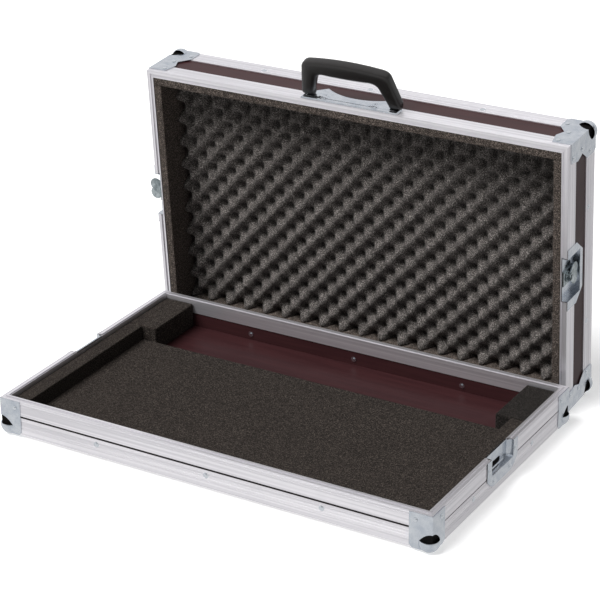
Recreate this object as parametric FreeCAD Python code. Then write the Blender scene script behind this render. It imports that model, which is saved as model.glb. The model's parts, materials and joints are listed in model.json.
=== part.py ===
import FreeCAD, Part
import math
import os

from FreeCAD import Placement, Rotation, Vector

os.makedirs("parts", exist_ok=True)

# Keyboard flight case: a shallow base with a foam bed, and a deep loose lid that stands on its
# rear wall behind the base. Millimetres. X runs along the case, the base's front faces -Y and
# Z is up from the floor. The origin is on the floor, under the centre of the base.

# Overall sizes
case_width = 736.0
case_depth = 449.0
base_height = 56.6
lid_height = 95.0

# Panels and aluminium extrusions
panel_thickness = 8.0
extrusion_wall = 1.5
edge_leg = 30.0
seam_gap = 1.6
lid_closing_leg = 27.5
closing_inner_leg = 23.0
closing_lip = 6.6
lip_step = 0.4
groove_depth = 0.4
groove_width = 2.2
edge_groove_count = 4
closing_groove_count = 2
groove_pitch = 4.6
groove_margin = 3.4
tongue_width = 3.4
tongue_height = 1.4
tongue_inset = 2.0
tongue_clearance = 0.35

# Ball corners
ball_radius = 15.5
ball_reach = 6.3
ball_wall = 1.2
corner_plate = 1.0
corner_leg = 36.0
corner_bottom_leg = 34.0
corner_top_drop = 1.2
lid_corner_setback = 8.0
lid_gusset_reach = 52.0
lid_gusset_waist = 33.0
ball_lip_height = 13.0

# Rivets through the edge extrusions
rivet_head_radius = 4.5
rivet_head_height = 1.4
rivet_shank_radius = 2.0
rivet_height = 20.0
rivet_tail_length = 1.8
rivet_washer_radius = 4.6
rivet_washer_thickness = 0.8
rivet_spacing_x = 193.0
rivet_spacing_y = 97.0

# Foam in the base
foam_clearance = 0.3
bed_top = 27.0
bed_rear = 102.0
side_foam_top = 50.0
side_strip_width = 27.0
rear_block_width = 53.0

# Foam in the lid
ring_thickness = 13.0
ring_setback = 0.6
crate_peak = 42.0
crate_pit = 62.0
crate_half_pitch_x = 15.5
crate_half_pitch_y = 18.0

# Butterfly latches in the lid's short sides, keepers in the base's
latch_forward = 6.0
dish_plate = 1.0
dish_half_width = 51.0
dish_shoulder = 32.0
dish_height = 54.0
dish_tip_half_width = 32.0
pan_half_width = 35.5
pan_height = 45.0
pan_clearance = 0.3
keeper_height = 46.0
keeper_shoulder = 30.0
keeper_tip_half_width = 30.0
keeper_pan_height = 27.0
keeper_slot_length = 33.0
keeper_slot_height = 9.0
keeper_slot_drop = 13.0
keeper_slot_offset = -10.5

# Latch mechanism
spindle_radius = 3.0
spindle_clearance = 0.05
spindle_from_rim = 17.0
cam_radius = 9.0
cam_thickness = 1.6
cam_ear_gap = 7.0
cam_ear_thickness = 1.8
cam_ear_half_height = 2.2
wing_pin_radius = 1.2
wing_pin_depth = 2.4
wing_thickness = 1.6
wing_length = 25.0
wing_half_width = 18.0
wing_waist = 7.0
hook_thickness = 1.5
hook_half_width = 12.0
hook_tail = 3.0
hook_play = 0.3
hook_setback = 1.5
layer_gap = 0.3

# Carrying handle on the lid's front wall
handle_foot_span = 86.0
handle_top_span = 70.5
handle_foot_width = 20.5
handle_corner_height = 69.0
handle_crown = 6.0
handle_opening_height = 47.0
handle_opening_span = 51.0
handle_thickness = 18.0
handle_edge_round = 5.0
handle_corner_round = 10.0
handle_pivot_height = 11.6
handle_from_rim = 17.0
handle_lean = 18.0
handle_pin_radius = 2.5
handle_pin_clearance = 0.05
handle_ear_thickness = 2.6
handle_ear_clearance = 0.3
handle_ear_radius = 5.0
handle_plate_thickness = 1.2
handle_plate_start = 3.0
handle_plate_depth = 42.0
handle_plate_waist = 25.0
handle_boss_height = 0.6
handle_boss_margin = 6.0

# The loose lid in the photographed place
lid_gap = 26.7
lid_shift = -14.7

# Values worked out from the sizes above
rim_width = panel_thickness + 2 * extrusion_wall
floor_top = extrusion_wall + panel_thickness
half_width = case_width / 2
half_depth = case_depth / 2
ball_centre = ball_radius - ball_reach
inner_x = half_width - rim_width
inner_y = half_depth - rim_width
base_closing_leg = base_height - edge_leg - seam_gap
pan_depth = floor_top - dish_plate - pan_clearance
hook_throw = keeper_slot_drop + hook_setback + hook_thickness + hook_play
hook_slot_radius = spindle_radius + 2 * layer_gap


def box(x0, y0, z0, x1, y1, z1):
    """A box between two corners given in any order."""
    low = Vector(min(x0, x1), min(y0, y1), min(z0, z1))
    return Part.makeBox(abs(x1 - x0), abs(y1 - y0), abs(z1 - z0), low)


def prism(points, direction):
    """A closed outline of 3-D points extruded along a vector."""
    outline = [Vector(*point) for point in points]
    face = Part.Face(Part.makePolygon(outline + outline[:1]))
    return face.extrude(Vector(*direction))


def fuse_all(shapes):
    """One solid from touching or overlapping shapes."""
    whole = shapes[0].multiFuse(shapes[1:]) if len(shapes) > 1 else shapes[0]
    return whole.removeSplitter()


def mirrored_x(shape):
    """The same shape on the other side of the YZ plane."""
    return shape.mirror(Vector(0, 0, 0), Vector(1, 0, 0))


def turned(shape, degrees):
    """A copy turned about the Z axis."""
    copy = shape.copy()
    copy.rotate(Vector(0, 0, 0), Vector(0, 0, 1), degrees)
    return copy


# Each half of the case is a tray with its closed face at z = 0 and its rim at z = height.
# A side is made along X with its outer face at y = -half, and then turned into place.
# The angle of each wall about Z is listed here; the lid's front wall is the base's rear one.
WALL_ANGLE = {"minus_y": 0, "plus_x": 90, "plus_y": 180, "minus_x": 270}


def wall_run(wall):
    """Length of a wall and the distance of its outer face from the tray's centre."""
    if wall in ("minus_y", "plus_y"):
        return case_width, half_depth
    return case_depth, half_width


def mitred_extrusion(section, wall, depth, height):
    """A section of (inset, z) points run along a wall, mitred at 45 degrees at both ends."""
    length, half = wall_run(wall)
    bar = prism([(-length / 2, -half + inset, z) for inset, z in section], (length, 0, 0))
    corners = [
        (-length / 2, -half, -height),
        (length / 2, -half, -height),
        (length / 2 - depth, -half + depth, -height),
        (-length / 2 + depth, -half + depth, -height),
    ]
    return bar.common(prism(corners, (0, 0, 3 * height)))


def grooved_face(start, end, count, first):
    """Points down an outer leg from start to end, with shallow grooves from first onwards."""
    step = 1 if end > start else -1
    points = [(0, start)]
    for index in range(count):
        top = first + step * index * groove_pitch
        points.append((0, top))
        points.append((groove_depth, top + step * groove_depth))
        points.append((groove_depth, top + step * (groove_width - groove_depth)))
        points.append((0, top + step * groove_width))
    points.append((0, end))
    return points


def edge_section():
    """Right-angle extrusion that wraps the closed edge, with fine grooves down its face."""
    outer = grooved_face(edge_leg, 0, edge_groove_count, edge_leg - groove_margin)
    return outer + [
        (edge_leg, 0),
        (edge_leg, extrusion_wall),
        (extrusion_wall, extrusion_wall),
        (extrusion_wall, edge_leg),
    ]


def closing_section(height, outer_leg, has_tongue):
    """Channel over the panel's edge: ribbed outer leg, flat rim and a stepped inner leg."""
    rim = height
    outer = grooved_face(rim - outer_leg, rim, closing_groove_count, rim - groove_margin - groove_pitch)
    tongue_out = rim_width - tongue_inset - tongue_width
    tongue_in = rim_width - tongue_inset
    if has_tongue:
        step = [
            (tongue_out, rim),
            (tongue_out, rim + tongue_height),
            (tongue_in, rim + tongue_height),
            (tongue_in, rim),
        ]
        web = rim - extrusion_wall
    else:
        depth = tongue_height + tongue_clearance
        step = [
            (tongue_out - tongue_clearance, rim),
            (tongue_out - tongue_clearance, rim - depth),
            (tongue_in + tongue_clearance, rim - depth),
            (tongue_in + tongue_clearance, rim),
        ]
        web = rim - depth - extrusion_wall
    inner_face = rim_width - lip_step
    inner_wall = rim_width - extrusion_wall
    legs = [
        (rim_width, rim),
        (rim_width, rim - closing_lip),
        (inner_face, rim - closing_lip - lip_step),
        (inner_face, rim - closing_inner_leg),
        (inner_wall, rim - closing_inner_leg),
        (inner_wall, web),
        (extrusion_wall, web),
        (extrusion_wall, rim - outer_leg),
    ]
    return outer + step + legs


def closing_web(has_tongue):
    """Thickness of the channel's web over the panel's edge."""
    if has_tongue:
        return extrusion_wall
    return tongue_height + tongue_clearance + extrusion_wall


def wall_panel(wall, height, has_tongue):
    """Plywood wall that stands on the closed panel and ends under the channel's web."""
    length, half = wall_run(wall)
    if wall in ("plus_x", "minus_x"):
        reach = length / 2 - floor_top
    else:
        reach = length / 2 - extrusion_wall
    top = height - closing_web(has_tongue)
    return box(-reach, -half + extrusion_wall, floor_top, reach, -half + floor_top, top)


def floor_panel():
    """Plywood panel of the closed face, inside the edge extrusions."""
    x = half_width - extrusion_wall
    y = half_depth - extrusion_wall
    return box(-x, -y, extrusion_wall, x, y, floor_top)


def rivet_places(wall):
    """Positions along a wall of the rivets that hold its edge extrusion."""
    if wall in ("minus_y", "plus_y"):
        return (-rivet_spacing_x, 0.0, rivet_spacing_x)
    return (-rivet_spacing_y, rivet_spacing_y)


def rivet_holes(shape, wall, height):
    """Shank holes through the wall, bored where the wall still lies along X."""
    half = wall_run(wall)[1]
    for x in rivet_places(wall):
        start = Vector(x, -half - extrusion_wall, height)
        hole = Part.makeCylinder(rivet_shank_radius, 3 * rim_width, start, Vector(0, 1, 0))
        shape = shape.cut(hole)
    return shape


def rivet(wall, x, height):
    """Domed head outside, shank through the wall, and a washer and tail inside."""
    half = wall_run(wall)[1]
    head = rivet_head_height
    radius = rivet_head_radius
    inside = floor_top
    washer = inside + rivet_washer_thickness
    profile = [
        Vector(0, -head, 0),
        Vector(radius * 0.5, -head * 0.85, 0),
        Vector(radius, 0, 0),
        Vector(rivet_shank_radius, 0, 0),
        Vector(rivet_shank_radius, inside, 0),
        Vector(rivet_washer_radius, inside, 0),
        Vector(rivet_washer_radius, washer, 0),
        Vector(rivet_shank_radius, washer, 0),
        Vector(rivet_shank_radius, washer + rivet_tail_length, 0),
        Vector(0, washer + rivet_tail_length, 0),
    ]
    face = Part.Face(Part.makePolygon(profile + profile[:1]))
    solid = face.revolve(Vector(0, 0, 0), Vector(0, 1, 0), 360)
    solid.translate(Vector(x, -half, height))
    return solid


def tray_rivets():
    """All edge rivets of one tray, as separate solids."""
    return [
        turned(rivet(wall, x, rivet_height), WALL_ANGLE[wall])
        for wall in WALL_ANGLE
        for x in rivet_places(wall)
    ]


def ball_bite():
    """The hollow inside a ball corner at +X -Y, which the wrapped parts stay clear of."""
    centre = Vector(half_width - ball_centre, -half_depth + ball_centre, ball_centre)
    return Part.makeSphere(ball_radius - ball_wall, centre)


def clear_of_balls(shape):
    """Cuts the ball hollows out of all four corners of the closed face."""
    bite = ball_bite()
    for angle_bite in (bite, mirrored_x(bite)):
        for ball in (angle_bite, angle_bite.mirror(Vector(0, 0, 0), Vector(0, 1, 0))):
            shape = shape.cut(ball)
    return shape


def base_leg_outline(height):
    """Corner plate's outline for the base: a plain rectangle, as (reach, z) points."""
    top = height - corner_top_drop
    return [(corner_leg, -corner_plate), (corner_leg, top), (-corner_plate, top), (-corner_plate, -corner_plate)]


def lid_leg_outline(height):
    """Corner plate's outline for the lid: waisted where the plywood shows between extrusions."""
    top = height - lid_corner_setback
    waist = height - 0.45 * (height - edge_leg + lid_closing_leg) + corner_plate
    return [
        (corner_leg, -corner_plate),
        (lid_gusset_reach, 0.7 * edge_leg),
        (lid_gusset_reach, edge_leg),
        (lid_gusset_waist, waist),
        (corner_leg, height - lid_closing_leg),
        (corner_leg, top),
        (-corner_plate, top),
        (-corner_plate, -corner_plate),
    ]


def ball_corner(outline):
    """Pressed corner at +X -Y: two wall plates, a plate under the face and a hollow ball."""
    x = half_width
    y = -half_depth
    t = corner_plate
    side_y = prism([(x - reach, y - t, z) for reach, z in outline], (0, t, 0))
    side_x = prism([(x, y + reach, z) for reach, z in outline], (t, 0, 0))
    bottom = box(x - corner_bottom_leg, y - t, -t, x + t, y + corner_bottom_leg, 0)
    centre = Vector(x - ball_centre, y + ball_centre, ball_centre)
    ball = Part.makeSphere(ball_radius, centre)
    hollow = Part.makeSphere(ball_radius - ball_wall, centre)
    reach = 2 * ball_radius
    inside = box(x, y, 0, x - reach, y + reach, reach)
    above = box(x - reach, y - reach, ball_lip_height, x + reach, y + reach, 2 * reach)
    cap = ball.cut(inside).cut(above)
    return fuse_all([side_y, side_x, bottom, cap]).cut(hollow)


def four_corners(corner):
    """The corner piece at each of the tray's four corners."""
    right = [corner, corner.mirror(Vector(0, 0, 0), Vector(0, 1, 0))]
    return right + [mirrored_x(piece) for piece in right]


def side_dish_outline(tip, shoulder, reach):
    """Latch dish's outline as (along, depth from the rim) points, narrower at its tip."""
    return [
        (-dish_half_width, 0),
        (dish_half_width, 0),
        (dish_half_width, shoulder),
        (tip, reach),
        (-tip, reach),
        (-dish_half_width, shoulder),
    ]


def pan_void(height, along, pan_reach):
    """The room for a latch pan in the +X wall, from the closing channel's inner leg outwards."""
    half = pan_half_width + dish_plate + pan_clearance
    low = height - pan_reach - dish_plate - pan_clearance
    return box(
        half_width - floor_top, along - half, low,
        half_width + extrusion_wall, along + half, height + 2 * tongue_height,
    )


def latch_dish(height, along, outline, pan_reach, depth):
    """Pressed dish in the +X wall: a flange outside and a pan that is open at the rim."""
    x = half_width
    flange = prism([(x, along + a, height - w) for a, w in outline], (dish_plate, 0, 0))
    half = pan_half_width
    low = height - pan_reach
    shell = box(
        x - depth - dish_plate, along - half - dish_plate, low - dish_plate,
        x + dish_plate, along + half + dish_plate, height,
    )
    hollow = box(x - depth, along - half, low, x + 2 * dish_plate, along + half, height + dish_plate)
    return fuse_all([flange, shell]).cut(hollow)


def keeper_dish():
    """Base dish with the slot that takes the latch's hook."""
    outline = side_dish_outline(keeper_tip_half_width, keeper_shoulder, keeper_height)
    along = -latch_forward
    dish = latch_dish(base_height, along, outline, keeper_pan_height, pan_depth)
    x = half_width - pan_depth
    top = base_height - keeper_slot_drop
    half = keeper_slot_length / 2
    middle = along + keeper_slot_offset
    slot = box(x - 2 * dish_plate, middle - half, top - keeper_slot_height, x + dish_plate, middle + half, top)
    return dish.cut(slot)


def latch_layers():
    """X of the hook's back, the cam's back and the wing pin, outwards from the pan's floor."""
    hook_back = half_width - pan_depth + layer_gap
    cam_back = hook_back + hook_thickness + layer_gap
    return hook_back, cam_back, half_width - wing_pin_depth


def spindle_z():
    """Height of the latch spindle in the lid tray."""
    return lid_height - spindle_from_rim


def lid_latch_dish():
    """Lid dish with the spindle's bearing hole and, at the rim, a notch for the hook's nose."""
    outline = side_dish_outline(dish_tip_half_width, dish_shoulder, dish_height)
    dish = latch_dish(lid_height, latch_forward, outline, pan_height, pan_depth)
    start = Vector(half_width - pan_depth - 2 * dish_plate, latch_forward, spindle_z())
    bearing = Part.makeCylinder(spindle_radius + spindle_clearance, 4 * dish_plate, start, Vector(1, 0, 0))
    notch_half = hook_half_width + 2 * layer_gap
    notch_low = lid_height - hook_setback - hook_thickness - 2 * layer_gap
    notch = box(start.x, latch_forward - notch_half, notch_low,
                half_width - pan_depth + layer_gap, latch_forward + notch_half, lid_height + dish_plate)
    return dish.cut(bearing).cut(notch)


def latch_cam():
    """Spindle, cam disc and the two ears that carry the wing's pin."""
    hook_back, cam_back, pin_x = latch_layers()
    z = spindle_z()
    tip = half_width - pan_depth - dish_plate
    spindle = Part.makeCylinder(
        spindle_radius, cam_back - tip, Vector(tip, latch_forward, z), Vector(1, 0, 0)
    )
    disc = Part.makeCylinder(
        cam_radius, cam_thickness, Vector(cam_back, latch_forward, z), Vector(1, 0, 0)
    )
    parts = [spindle, disc]
    for side in (-1, 1):
        inner = latch_forward + side * cam_ear_gap / 2
        outer = inner + side * cam_ear_thickness
        ear_top = pin_x + cam_ear_half_height
        parts.append(box(cam_back, inner, z - cam_ear_half_height, ear_top, outer, z + cam_ear_half_height))
    pin_start = Vector(pin_x, latch_forward - cam_radius, z)
    bore = Part.makeCylinder(wing_pin_radius + spindle_clearance, 2 * cam_radius, pin_start, Vector(0, 1, 0))
    return fuse_all(parts).cut(bore)


def latch_wing():
    """Butterfly key with two lobes on a pin, folded flat into the pan."""
    pin_x = latch_layers()[2]
    z = spindle_z()
    half_ear = cam_ear_gap / 2 + cam_ear_thickness
    reach = half_ear + 1.2
    pin = Part.makeCylinder(
        wing_pin_radius, 2 * reach, Vector(pin_x, latch_forward - reach, z), Vector(0, 1, 0)
    )
    x = pin_x - wing_thickness / 2
    tip = z - wing_length
    lobe = wing_length * 0.42
    parts = [pin]
    for side in (-1, 1):
        centre_y = latch_forward + side * (wing_half_width - lobe)
        disc = Part.makeCylinder(lobe, wing_thickness, Vector(x, centre_y, tip + lobe), Vector(1, 0, 0))
        arm = prism(
            [
                (x, latch_forward + side * (half_ear + layer_gap), z + wing_pin_radius),
                (x, latch_forward + side * (reach + 0.6), z + wing_pin_radius),
                (x, centre_y + side * lobe, tip + lobe),
                (x, latch_forward + side * wing_waist * 0.4, tip + lobe),
                (x, latch_forward + side * wing_waist * 0.4, z - cam_radius),
                (x, latch_forward + side * (half_ear + layer_gap), z - cam_ear_half_height - 1.0),
            ],
            (wing_thickness, 0, 0),
        )
        parts += [disc, arm]
    bridge = box(x, latch_forward - wing_waist, z - cam_radius - 1.5, x + wing_thickness,
                 latch_forward + wing_waist, tip + lobe)
    return fuse_all(parts + [bridge])


def latch_hook():
    """Sliding hook plate behind the cam, slotted for the spindle, its nose turned in at the rim."""
    x = latch_layers()[0]
    z_end = lid_height - hook_setback
    z = spindle_z()
    room = hook_slot_radius
    slot_low = z - hook_throw
    plate = box(x, latch_forward - hook_half_width, slot_low - room - hook_tail, x + hook_thickness,
                latch_forward + hook_half_width, z_end)
    nose = box(half_width - pan_depth - dish_plate, latch_forward - hook_half_width, z_end - hook_thickness,
               x + hook_thickness, latch_forward + hook_half_width, z_end)
    slot = fuse_all([
        box(x - 1, latch_forward - room, slot_low, x + 2 * hook_thickness, latch_forward + room, z),
        Part.makeCylinder(room, 3 * hook_thickness, Vector(x - 1, latch_forward, z), Vector(1, 0, 0)),
        Part.makeCylinder(room, 3 * hook_thickness, Vector(x - 1, latch_forward, slot_low), Vector(1, 0, 0)),
    ])
    return fuse_all([plate, nose]).cut(slot)


def handle_pivot():
    """Centre of the handle's hinge line in the lid tray."""
    return Vector(0, half_depth + handle_pivot_height, lid_height - handle_from_rim)


def arc_through(a, b, c):
    """Edge through three points."""
    return Part.Arc(Vector(*a), Vector(*b), Vector(*c)).toShape()


def line(a, b):
    """Straight edge between two points."""
    return Part.makeLine(Vector(*a), Vector(*b))


def handle_outline(z):
    """Arched bail: splayed legs, a crowned top and a straight-bottomed grip opening."""
    y = half_depth
    foot = y + handle_pivot_height
    top = y + handle_corner_height
    crown = top + handle_crown
    under = y + handle_opening_height
    inner_foot = handle_foot_span - handle_foot_width
    slope = (handle_foot_span - handle_top_span) / (handle_corner_height - handle_pivot_height)
    shoulder = top - handle_corner_round
    shoulder_x = handle_top_span + slope * handle_corner_round
    turn_x = handle_top_span - handle_corner_round
    turn_y = top + 0.26 * handle_crown
    mid_x = handle_top_span - 0.22 * handle_corner_round
    mid_y = top - 0.2 * handle_corner_round
    open_round = 0.9 * handle_corner_round
    leg_slope = (inner_foot - handle_opening_span) / (handle_opening_height - handle_pivot_height)
    open_leg_y = under - open_round
    open_leg_x = handle_opening_span + leg_slope * open_round
    open_turn_x = handle_opening_span - open_round
    open_mid = (handle_opening_span - 0.25 * open_round, under - 0.25 * open_round)
    edges = [
        line((-handle_foot_span, foot, z), (-shoulder_x, shoulder, z)),
        arc_through((-shoulder_x, shoulder, z), (-mid_x, mid_y, z), (-turn_x, turn_y, z)),
        arc_through((-turn_x, turn_y, z), (0, crown, z), (turn_x, turn_y, z)),
        arc_through((turn_x, turn_y, z), (mid_x, mid_y, z), (shoulder_x, shoulder, z)),
        line((shoulder_x, shoulder, z), (handle_foot_span, foot, z)),
        line((handle_foot_span, foot, z), (inner_foot, foot, z)),
        line((inner_foot, foot, z), (open_leg_x, open_leg_y, z)),
        arc_through((open_leg_x, open_leg_y, z), (open_mid[0], open_mid[1], z), (open_turn_x, under, z)),
        line((open_turn_x, under, z), (-open_turn_x, under, z)),
        arc_through((-open_turn_x, under, z), (-open_mid[0], open_mid[1], z), (-open_leg_x, open_leg_y, z)),
        line((-open_leg_x, open_leg_y, z), (-inner_foot, foot, z)),
        line((-inner_foot, foot, z), (-handle_foot_span, foot, z)),
    ]
    return Part.Face(Part.Wire(edges))


def handle_feet_x():
    """Middle of each foot along the hinge line."""
    middle = handle_foot_span - handle_foot_width / 2
    return (-middle, middle)


def carry_handle():
    """Moulded handle in its upright position, bored and slotted at the feet for its hinge."""
    pivot = handle_pivot()
    z = pivot.z - handle_thickness / 2
    arch = handle_outline(z).extrude(Vector(0, 0, handle_thickness))
    rounded = []
    for edge in arch.Edges:
        flat = abs(edge.BoundBox.ZLength) < 0.01
        above_feet = edge.BoundBox.YMax > pivot.y + 0.01
        if flat and above_feet:
            rounded.append(edge)
    arch = arch.makeFillet(handle_edge_round, rounded)
    parts = [arch]
    barrel = handle_thickness / 2
    for x in handle_feet_x():
        start = Vector(x - handle_foot_width / 2, pivot.y, pivot.z)
        parts.append(Part.makeCylinder(barrel, handle_foot_width, start, Vector(1, 0, 0)))
    handle = fuse_all(parts)
    slot_half = handle_ear_thickness / 2 + handle_ear_clearance
    slot_reach = handle_ear_radius + 2 * handle_ear_clearance
    for x in handle_feet_x():
        start = Vector(x - handle_foot_width, pivot.y, pivot.z)
        bore = Part.makeCylinder(
            handle_pin_radius + handle_pin_clearance, 2 * handle_foot_width, start, Vector(1, 0, 0)
        )
        slot = box(x - slot_half, pivot.y - handle_thickness, pivot.z - handle_thickness,
                   x + slot_half, pivot.y + slot_reach, pivot.z + handle_thickness)
        handle = handle.cut(bore).cut(slot)
    return handle


def handle_pins():
    """One hinge pin through each foot."""
    pivot = handle_pivot()
    length = handle_foot_width - 2 * handle_ear_clearance
    pins = []
    for x in handle_feet_x():
        start = Vector(x - length / 2, pivot.y, pivot.z)
        pins.append(Part.makeCylinder(handle_pin_radius, length, start, Vector(1, 0, 0)))
    return pins


def scalloped_outline(y, margin):
    """Handle plate's outline: straight at the rim side, drawn in by an arc at the far side."""
    rim_z = lid_height - handle_plate_start - margin * 0.3
    far_z = lid_height - handle_plate_depth + margin
    waist_z = lid_height - handle_plate_waist + margin
    half = handle_foot_span - 2.0 - margin
    lobe = half - handle_foot_width * 1.1
    edges = [
        line((-half, y, rim_z), (half, y, rim_z)),
        line((half, y, rim_z), (half, y, far_z)),
        line((half, y, far_z), (lobe, y, far_z)),
        arc_through((lobe, y, far_z), (0, y, waist_z), (-lobe, y, far_z)),
        line((-lobe, y, far_z), (-half, y, far_z)),
        line((-half, y, far_z), (-half, y, rim_z)),
    ]
    return Part.Face(Part.Wire(edges))


def handle_base_plate():
    """Scalloped metal plate under the handle, with a raised middle and an ear per foot."""
    pivot = handle_pivot()
    y = half_depth
    flange = scalloped_outline(y, 0).extrude(Vector(0, handle_plate_thickness, 0))
    boss = scalloped_outline(y, handle_boss_margin).extrude(
        Vector(0, handle_plate_thickness + handle_boss_height, 0)
    )
    parts = [flange, boss]
    half = handle_ear_thickness / 2
    for x in handle_feet_x():
        stem = box(x - half, y, pivot.z - handle_ear_radius, x + half, pivot.y, pivot.z + handle_ear_radius)
        eye = Part.makeCylinder(
            handle_ear_radius, handle_ear_thickness, Vector(x - half, pivot.y, pivot.z), Vector(1, 0, 0)
        )
        parts += [stem, eye]
    plate = fuse_all(parts)
    for pin in handle_pins():
        plate = plate.cut(pin)
    return plate


def tail_pockets(foam, wall):
    """Dents that the rivet tails press into foam beside a wall lying along X."""
    half = wall_run(wall)[1]
    radius = rivet_washer_radius + foam_clearance
    length = rivet_washer_thickness + rivet_tail_length + foam_clearance
    for x in rivet_places(wall):
        start = Vector(x, -half + floor_top, rivet_height)
        foam = foam.cut(Part.makeCylinder(radius, length, start, Vector(0, 1, 0)))
    return foam


def foam_bed():
    """Flat pad in the base that the keyboard lies on."""
    x = inner_x - side_strip_width - foam_clearance
    pad = box(-x, -inner_y + foam_clearance, floor_top, x, bed_rear - foam_clearance, bed_top)
    return tail_pockets(pad, "minus_y")


def foam_side_strip():
    """Foam strip along the base's right wall, from the front wall to the rear block."""
    x = inner_x - foam_clearance
    strip = box(inner_x - side_strip_width, -inner_y + foam_clearance, floor_top,
                x, bed_rear - foam_clearance, side_foam_top)
    return turned(tail_pockets(turned(strip, -WALL_ANGLE["plus_x"]), "plus_x"), WALL_ANGLE["plus_x"])


def foam_rear_block():
    """Foam block in the base's rear right corner, beside the open bay."""
    x = inner_x - foam_clearance
    return box(inner_x - rear_block_width, bed_rear, floor_top, x, inner_y - foam_clearance, side_foam_top)


def ring_strip(wall):
    """Foam strip that lines one wall of the lid from its closed face to its rim."""
    length, half = wall_run(wall)
    reach = length / 2 - rim_width - foam_clearance
    if wall in ("plus_x", "minus_x"):
        reach -= ring_thickness + foam_clearance
    low = -half + rim_width + foam_clearance
    strip = box(-reach, low, floor_top, reach, low + ring_thickness, lid_height - ring_setback)
    return tail_pockets(strip, wall)


def crate_height(column, row):
    """Height of the egg-crate foam at a lattice point: peaks and pits by turns."""
    peak = lid_height - crate_peak
    pit = lid_height - crate_pit
    return peak if (column + row) % 2 == 0 else pit


def egg_crate_foam():
    """Convoluted foam on the lid's closed face: a lattice of peaks and pits."""
    gap = ring_thickness + 3 * foam_clearance
    half_x = inner_x - gap
    half_y = inner_y - gap
    columns = 2 * round(half_x / crate_half_pitch_x)
    rows = 2 * round(half_y / crate_half_pitch_y)
    step_x = 2 * half_x / columns
    step_y = 2 * half_y / rows

    def point(column, row):
        return Vector(-half_x + column * step_x, -half_y + row * step_y, crate_height(column, row))

    def triangle(a, b, c):
        return Part.Face(Part.makePolygon([a, b, c, a]))

    faces = []
    for column in range(columns):
        for row in range(rows):
            a = point(column, row)
            b = point(column + 1, row)
            c = point(column + 1, row + 1)
            d = point(column, row + 1)
            if (column + row) % 2 == 0:
                faces += [triangle(a, b, c), triangle(a, c, d)]
            else:
                faces += [triangle(a, b, d), triangle(b, c, d)]
    low = floor_top
    edge_front = [point(column, 0) for column in range(columns + 1)]
    edge_rear = [point(column, rows) for column in range(columns, -1, -1)]
    edge_left = [point(0, row) for row in range(rows, -1, -1)]
    edge_right = [point(columns, row) for row in range(rows + 1)]
    for edge in (edge_front, edge_right, edge_rear, edge_left):
        skirt = edge + [Vector(edge[-1].x, edge[-1].y, low), Vector(edge[0].x, edge[0].y, low), edge[0]]
        faces.append(Part.Face(Part.makePolygon(skirt)))
    ground = [
        Vector(-half_x, -half_y, low),
        Vector(-half_x, half_y, low),
        Vector(half_x, half_y, low),
        Vector(half_x, -half_y, low),
    ]
    faces.append(Part.Face(Part.makePolygon(ground + ground[:1])))
    shell = Part.makeShell(faces)
    shell.sewShape()
    solid = Part.makeSolid(shell)
    if solid.Volume < 0:
        solid.reverse()
    return solid


def base_names():
    """Wall names of the base tray."""
    return {"minus_y": "front", "plus_x": "right", "plus_y": "rear", "minus_x": "left"}


def lid_names():
    """Wall names of the lid tray, whose front wall carries the handle."""
    return {"minus_y": "rear", "plus_x": "right", "plus_y": "front", "minus_x": "left"}


def tray_parts(prefix, height, outer_leg, has_tongue, names, void, corner):
    """Panels, extrusions, corners and rivets of one tray, as a dictionary of nodes."""
    nodes = {prefix + "_floor_panel" if has_tongue else prefix + "_top_panel": [floor_panel()]}
    voids = {"plus_x": void, "minus_x": mirrored_x(void)}
    for wall, angle in WALL_ANGLE.items():
        panel = turned(rivet_holes(wall_panel(wall, height, has_tongue), wall, rivet_height), angle)
        section = closing_section(height, outer_leg, has_tongue)
        closing = turned(mitred_extrusion(section, wall, rim_width, height), angle)
        edge = mitred_extrusion(edge_section(), wall, edge_leg, height)
        edge = clear_of_balls(turned(rivet_holes(edge, wall, rivet_height), angle))
        if wall in voids:
            panel = panel.cut(voids[wall])
            closing = closing.cut(voids[wall])
            edge = edge.cut(voids[wall])
        nodes[prefix + "_" + names[wall] + "_panel"] = [panel]
        nodes[prefix + "_" + names[wall] + "_closing_profile"] = closing.Solids
        nodes[prefix + "_" + names[wall] + "_edge_profile"] = edge.Solids
    nodes[prefix + "_ball_corners"] = four_corners(corner)
    nodes[prefix + "_edge_rivets"] = tray_rivets()
    return nodes


def base_parts():
    """Nodes of the base, in its own tray frame."""
    void = pan_void(base_height, -latch_forward, keeper_pan_height)
    corner = ball_corner(base_leg_outline(base_height))
    nodes = tray_parts("base", base_height, base_closing_leg, True, base_names(), void, corner)
    strip = foam_side_strip()
    block = foam_rear_block()
    keeper = keeper_dish()
    nodes["base_foam_bed"] = [foam_bed()]
    nodes["base_right_foam_strip"] = [strip]
    nodes["base_left_foam_strip"] = [mirrored_x(strip)]
    nodes["base_right_foam_block"] = [block]
    nodes["base_left_foam_block"] = [mirrored_x(block)]
    nodes["base_right_keeper_dish"] = [keeper]
    nodes["base_left_keeper_dish"] = [mirrored_x(keeper)]
    return nodes


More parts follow.
